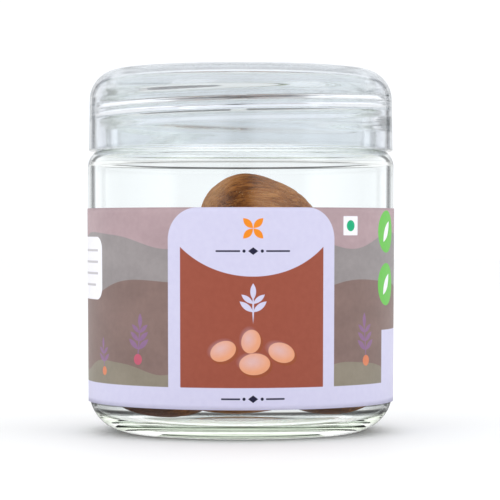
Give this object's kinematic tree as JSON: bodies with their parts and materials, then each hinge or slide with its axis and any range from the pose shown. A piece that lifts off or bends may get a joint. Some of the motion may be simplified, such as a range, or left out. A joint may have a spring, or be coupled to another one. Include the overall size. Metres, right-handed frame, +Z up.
{
  "type": "jar of whole nutmeg",
  "caption": "Clear round glass jar with a clear screw lid and a wrap label, holding a heap of loose whole nutmegs.",
  "frame": {"origin": "on the jar's axis, in the plane that it stands on", "axes": "+Z up along the jar's axis; -Y towards the front, where the middle of the label is"},
  "size_m": [0.0602, 0.0601, 0.0707],
  "materials": {
    "jar_glass": "clear, smooth",
    "lid_plastic": "clear, glossy",
    "label_film": "printed film, satin",
    "nutmeg_seed": "dry, finely wrinkled, dull"
  },
  "bodies": {
    "root": {"glass_jar": "jar_glass", "jar_lid": "lid_plastic", "wrap_label": "label_film", "nutmeg_floor_left": "nutmeg_seed", "nutmeg_floor_right": "nutmeg_seed", "nutmeg_floor_back": "nutmeg_seed", "nutmeg_centre": "nutmeg_seed", "nutmeg_left": "nutmeg_seed", "nutmeg_back_left": "nutmeg_seed", "nutmeg_back": "nutmeg_seed", "nutmeg_top": "nutmeg_seed"}
  },
  "joints": []
}
